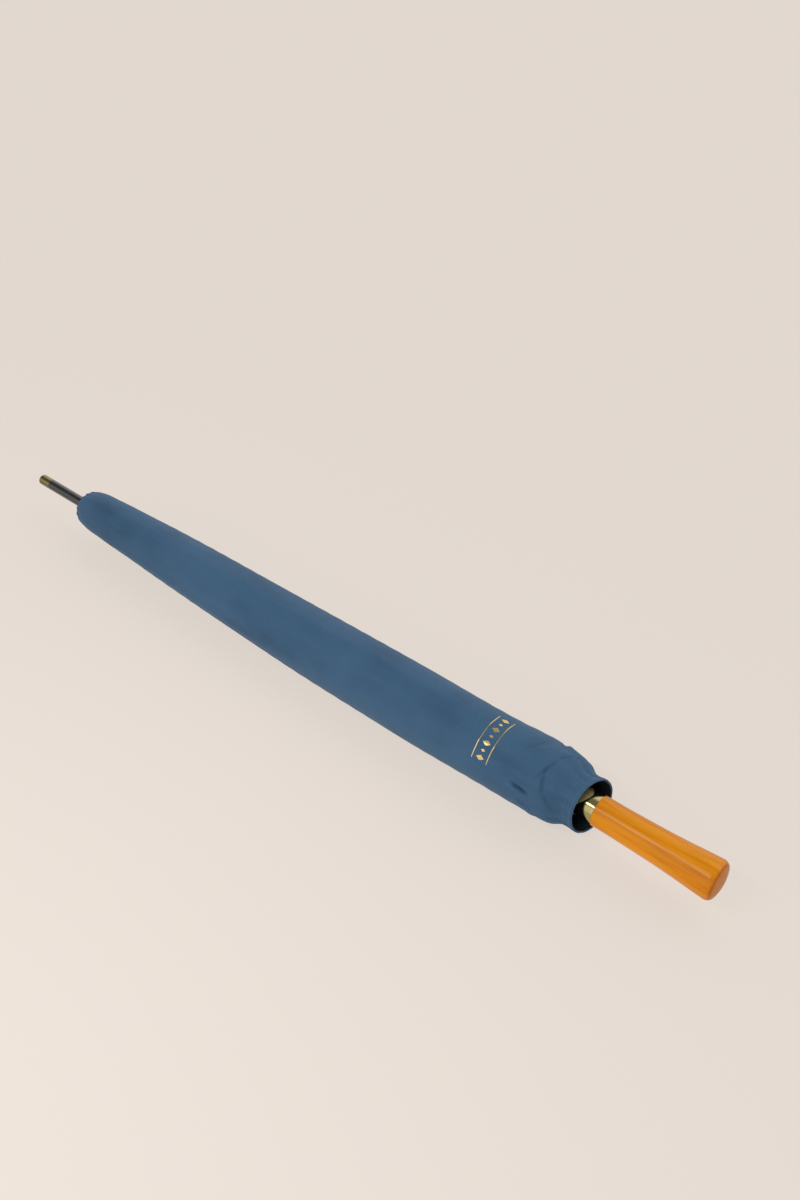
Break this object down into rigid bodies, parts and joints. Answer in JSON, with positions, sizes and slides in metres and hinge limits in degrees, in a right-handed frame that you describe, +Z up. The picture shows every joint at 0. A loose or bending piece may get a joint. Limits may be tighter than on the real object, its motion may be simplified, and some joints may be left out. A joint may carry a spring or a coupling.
{
  "type": "golf umbrella",
  "caption": "Long straight golf umbrella, folded shut in a fitted cloth sleeve, with a turned wooden handle, metal collar and rod tip, lying on its side.",
  "frame": {"origin": "on the ground under the middle of the object's box", "axes": "+X along the shaft towards the handle, +Z up from the ground, shaft level"},
  "size_m": [0.95, 0.072, 0.0745],
  "materials": {
    "polished_brass": "polished and lacquered",
    "black_enamel": "gloss black enamel",
    "black_steel": "blackened spring steel",
    "black_nylon": "moulded satin black",
    "bright_wire": "drawn wire",
    "varnished_wood": "turned and clear varnished",
    "sleeve_cloth": "fine plain weave with a soft sheen",
    "canopy_cloth": "fine plain weave, pleated"
  },
  "bodies": {
    "root": {"shaft": "black_enamel", "ferrule": "black_enamel", "tip_cap": "polished_brass", "canopy_cap": "polished_brass", "crown": "black_nylon", "crown_wire": "bright_wire", "stop_pin": "bright_wire", "catch_pins": "bright_wire", "handle_collar": "polished_brass", "handle": "varnished_wood"},
    "sleeve": {"sleeve": "sleeve_cloth", "sleeve_hem": "sleeve_cloth", "sleeve_end_binding": "sleeve_cloth"},
    "runner": {"runner": "black_nylon", "runner_skirt": "polished_brass", "runner_wire": "bright_wire"},
    "bottom_catch": {"bottom_catch": "bright_wire"},
    "top_catch": {"top_catch": "bright_wire"},
    "rib_1": {"rib_1": "black_steel", "rib_tip_1": "polished_brass", "joint_pin_1": "bright_wire", "tie_strap": "canopy_cloth", "tie_strap_snap": "polished_brass"},
    "stretcher_1": {"stretcher_1": "black_steel"},
    "gore_1": {"gore_1": "canopy_cloth"},
    "rib_2": {"rib_2": "black_steel", "rib_tip_2": "polished_brass", "joint_pin_2": "bright_wire"},
    "stretcher_2": {"stretcher_2": "black_steel"},
    "gore_2": {"gore_2": "canopy_cloth"},
    "rib_3": {"rib_3": "black_steel", "rib_tip_3": "polished_brass", "joint_pin_3": "bright_wire"},
    "stretcher_3": {"stretcher_3": "black_steel"},
    "gore_3": {"gore_3": "canopy_cloth"},
    "rib_4": {"rib_4": "black_steel", "rib_tip_4": "polished_brass", "joint_pin_4": "bright_wire"},
    "stretcher_4": {"stretcher_4": "black_steel"},
    "gore_4": {"gore_4": "canopy_cloth"},
    "rib_5": {"rib_5": "black_steel", "rib_tip_5": "polished_brass", "joint_pin_5": "bright_wire"},
    "stretcher_5": {"stretcher_5": "black_steel"},
    "gore_5": {"gore_5": "canopy_cloth"},
    "rib_6": {"rib_6": "black_steel", "rib_tip_6": "polished_brass", "joint_pin_6": "bright_wire"},
    "stretcher_6": {"stretcher_6": "black_steel"},
    "gore_6": {"gore_6": "canopy_cloth"},
    "rib_7": {"rib_7": "black_steel", "rib_tip_7": "polished_brass", "joint_pin_7": "bright_wire"},
    "stretcher_7": {"stretcher_7": "black_steel"},
    "gore_7": {"gore_7": "canopy_cloth"},
    "rib_8": {"rib_8": "black_steel", "rib_tip_8": "polished_brass", "joint_pin_8": "bright_wire"},
    "stretcher_8": {"stretcher_8": "black_steel"},
    "gore_8": {"gore_8": "canopy_cloth"}
  },
  "joints": [
    {"name": "rib_1_open", "type": "hinge", "parent": "root", "child": "rib_1", "pos_m": [-0.361, 0.00421, 0.04756], "axis": [0, -0.9239, 0.3827], "range_deg": [0, 72], "deforming": ["gore_1", "gore_2", "gore_3", "gore_4", "gore_5", "gore_6", "gore_7", "gore_8", "tie_strap"]},
    {"name": "stretcher_1_fold", "type": "hinge", "parent": "rib_1", "child": "stretcher_1", "pos_m": [-0.0475, 0.00421, 0.04756], "axis": [0, -0.9239, 0.3827], "range_deg": [-144, 0]},
    {"name": "gore_1_spread", "type": "hinge", "parent": "rib_1", "child": "gore_1", "pos_m": [-0.361, 0.00421, 0.04756], "axis": [0, 0.4969, 0.8678], "range_deg": [0, 42.7]},
    {"name": "runner_slide", "type": "hinge", "parent": "stretcher_1", "child": "runner", "pos_m": [0.266, 0.00421, 0.04756], "axis": [0, -0.9239, 0.3827], "range_deg": [0, 72]},
    {"name": "rib_2_open", "type": "hinge", "parent": "root", "child": "rib_2", "pos_m": [-0.361, 0.01016, 0.04161], "axis": [0, -0.3827, 0.9239], "range_deg": [0, 72]},
    {"name": "stretcher_2_fold", "type": "hinge", "parent": "rib_2", "child": "stretcher_2", "pos_m": [-0.0475, 0.01016, 0.04161], "axis": [0, -0.3827, 0.9239], "range_deg": [-144, 0]},
    {"name": "gore_2_spread", "type": "hinge", "parent": "rib_2", "child": "gore_2", "pos_m": [-0.361, 0.01016, 0.04161], "axis": [0, 0.965, 0.2623], "range_deg": [0, 42.7]},
    {"name": "rib_3_open", "type": "hinge", "parent": "root", "child": "rib_3", "pos_m": [-0.361, 0.01016, 0.03319], "axis": [0, 0.3827, 0.9239], "range_deg": [0, 72]},
    {"name": "stretcher_3_fold", "type": "hinge", "parent": "rib_3", "child": "stretcher_3", "pos_m": [-0.0475, 0.01016, 0.03319], "axis": [0, 0.3827, 0.9239], "range_deg": [-144, 0]},
    {"name": "gore_3_spread", "type": "hinge", "parent": "rib_3", "child": "gore_3", "pos_m": [-0.361, 0.01016, 0.03319], "axis": [0, 0.8678, -0.4969], "range_deg": [0, 42.7]},
    {"name": "rib_4_open", "type": "hinge", "parent": "root", "child": "rib_4", "pos_m": [-0.361, 0.00421, 0.02724], "axis": [0, 0.9239, 0.3827], "range_deg": [0, 72]},
    {"name": "stretcher_4_fold", "type": "hinge", "parent": "rib_4", "child": "stretcher_4", "pos_m": [-0.0475, 0.00421, 0.02724], "axis": [0, 0.9239, 0.3827], "range_deg": [-144, 0]},
    {"name": "gore_4_spread", "type": "hinge", "parent": "rib_4", "child": "gore_4", "pos_m": [-0.361, 0.00421, 0.02724], "axis": [0, 0.2623, -0.965], "range_deg": [0, 42.7]},
    {"name": "rib_5_open", "type": "hinge", "parent": "root", "child": "rib_5", "pos_m": [-0.361, -0.00421, 0.02724], "axis": [0, 0.9239, -0.3827], "range_deg": [0, 72]},
    {"name": "stretcher_5_fold", "type": "hinge", "parent": "rib_5", "child": "stretcher_5", "pos_m": [-0.0475, -0.00421, 0.02724], "axis": [0, 0.9239, -0.3827], "range_deg": [-144, 0]},
    {"name": "gore_5_spread", "type": "hinge", "parent": "rib_5", "child": "gore_5", "pos_m": [-0.361, -0.00421, 0.02724], "axis": [0, -0.4969, -0.8678], "range_deg": [0, 42.7]},
    {"name": "rib_6_open", "type": "hinge", "parent": "root", "child": "rib_6", "pos_m": [-0.361, -0.01016, 0.03319], "axis": [0, 0.3827, -0.9239], "range_deg": [0, 72]},
    {"name": "stretcher_6_fold", "type": "hinge", "parent": "rib_6", "child": "stretcher_6", "pos_m": [-0.0475, -0.01016, 0.03319], "axis": [0, 0.3827, -0.9239], "range_deg": [-144, 0]},
    {"name": "gore_6_spread", "type": "hinge", "parent": "rib_6", "child": "gore_6", "pos_m": [-0.361, -0.01016, 0.03319], "axis": [0, -0.965, -0.2623], "range_deg": [0, 42.7]},
    {"name": "rib_7_open", "type": "hinge", "parent": "root", "child": "rib_7", "pos_m": [-0.361, -0.01016, 0.04161], "axis": [0, -0.3827, -0.9239], "range_deg": [0, 72]},
    {"name": "stretcher_7_fold", "type": "hinge", "parent": "rib_7", "child": "stretcher_7", "pos_m": [-0.0475, -0.01016, 0.04161], "axis": [0, -0.3827, -0.9239], "range_deg": [-144, 0]},
    {"name": "gore_7_spread", "type": "hinge", "parent": "rib_7", "child": "gore_7", "pos_m": [-0.361, -0.01016, 0.04161], "axis": [0, -0.8678, 0.4969], "range_deg": [0, 42.7]},
    {"name": "rib_8_open", "type": "hinge", "parent": "root", "child": "rib_8", "pos_m": [-0.361, -0.00421, 0.04756], "axis": [0, -0.9239, -0.3827], "range_deg": [0, 72]},
    {"name": "stretcher_8_fold", "type": "hinge", "parent": "rib_8", "child": "stretcher_8", "pos_m": [-0.0475, -0.00421, 0.04756], "axis": [0, -0.9239, -0.3827], "range_deg": [-144, 0]},
    {"name": "gore_8_spread", "type": "hinge", "parent": "rib_8", "child": "gore_8", "pos_m": [-0.361, -0.00421, 0.04756], "axis": [0, -0.2623, 0.965], "range_deg": [0, 42.7]},
    {"name": "sleeve_pull", "type": "slide", "parent": "root", "child": "sleeve", "axis": [-1, 0, 0], "range_m": [0, 0.85], "deforming": ["sleeve", "sleeve_hem", "sleeve_end_binding"]},
    {"name": "bottom_catch_release", "type": "hinge", "parent": "root", "child": "bottom_catch", "pos_m": [0.282, 0, 0.0404], "axis": [0, -1, 0], "range_deg": [0, 9]},
    {"name": "top_catch_release", "type": "hinge", "parent": "root", "child": "top_catch", "pos_m": [-0.06825, 0, 0.0404], "axis": [0, 1, 0], "range_deg": [0, 9]}
  ],
  "couplings": [
    {"joint": "stretcher_1_fold", "follows": "rib_1_open", "ratio": -2},
    {"joint": "gore_1_spread", "follows": "rib_1_open", "ratio": 0.59287},
    {"joint": "runner_slide", "follows": "rib_1_open", "ratio": 1},
    {"joint": "rib_2_open", "follows": "rib_1_open", "ratio": 1},
    {"joint": "stretcher_2_fold", "follows": "rib_1_open", "ratio": -2},
    {"joint": "gore_2_spread", "follows": "rib_1_open", "ratio": 0.59287},
    {"joint": "rib_3_open", "follows": "rib_1_open", "ratio": 1},
    {"joint": "stretcher_3_fold", "follows": "rib_1_open", "ratio": -2},
    {"joint": "gore_3_spread", "follows": "rib_1_open", "ratio": 0.59287},
    {"joint": "rib_4_open", "follows": "rib_1_open", "ratio": 1},
    {"joint": "stretcher_4_fold", "follows": "rib_1_open", "ratio": -2},
    {"joint": "gore_4_spread", "follows": "rib_1_open", "ratio": 0.59287},
    {"joint": "rib_5_open", "follows": "rib_1_open", "ratio": 1},
    {"joint": "stretcher_5_fold", "follows": "rib_1_open", "ratio": -2},
    {"joint": "gore_5_spread", "follows": "rib_1_open", "ratio": 0.59287},
    {"joint": "rib_6_open", "follows": "rib_1_open", "ratio": 1},
    {"joint": "stretcher_6_fold", "follows": "rib_1_open", "ratio": -2},
    {"joint": "gore_6_spread", "follows": "rib_1_open", "ratio": 0.59287},
    {"joint": "rib_7_open", "follows": "rib_1_open", "ratio": 1},
    {"joint": "stretcher_7_fold", "follows": "rib_1_open", "ratio": -2},
    {"joint": "gore_7_spread", "follows": "rib_1_open", "ratio": 0.59287},
    {"joint": "rib_8_open", "follows": "rib_1_open", "ratio": 1},
    {"joint": "stretcher_8_fold", "follows": "rib_1_open", "ratio": -2},
    {"joint": "gore_8_spread", "follows": "rib_1_open", "ratio": 0.59287}
  ]
}
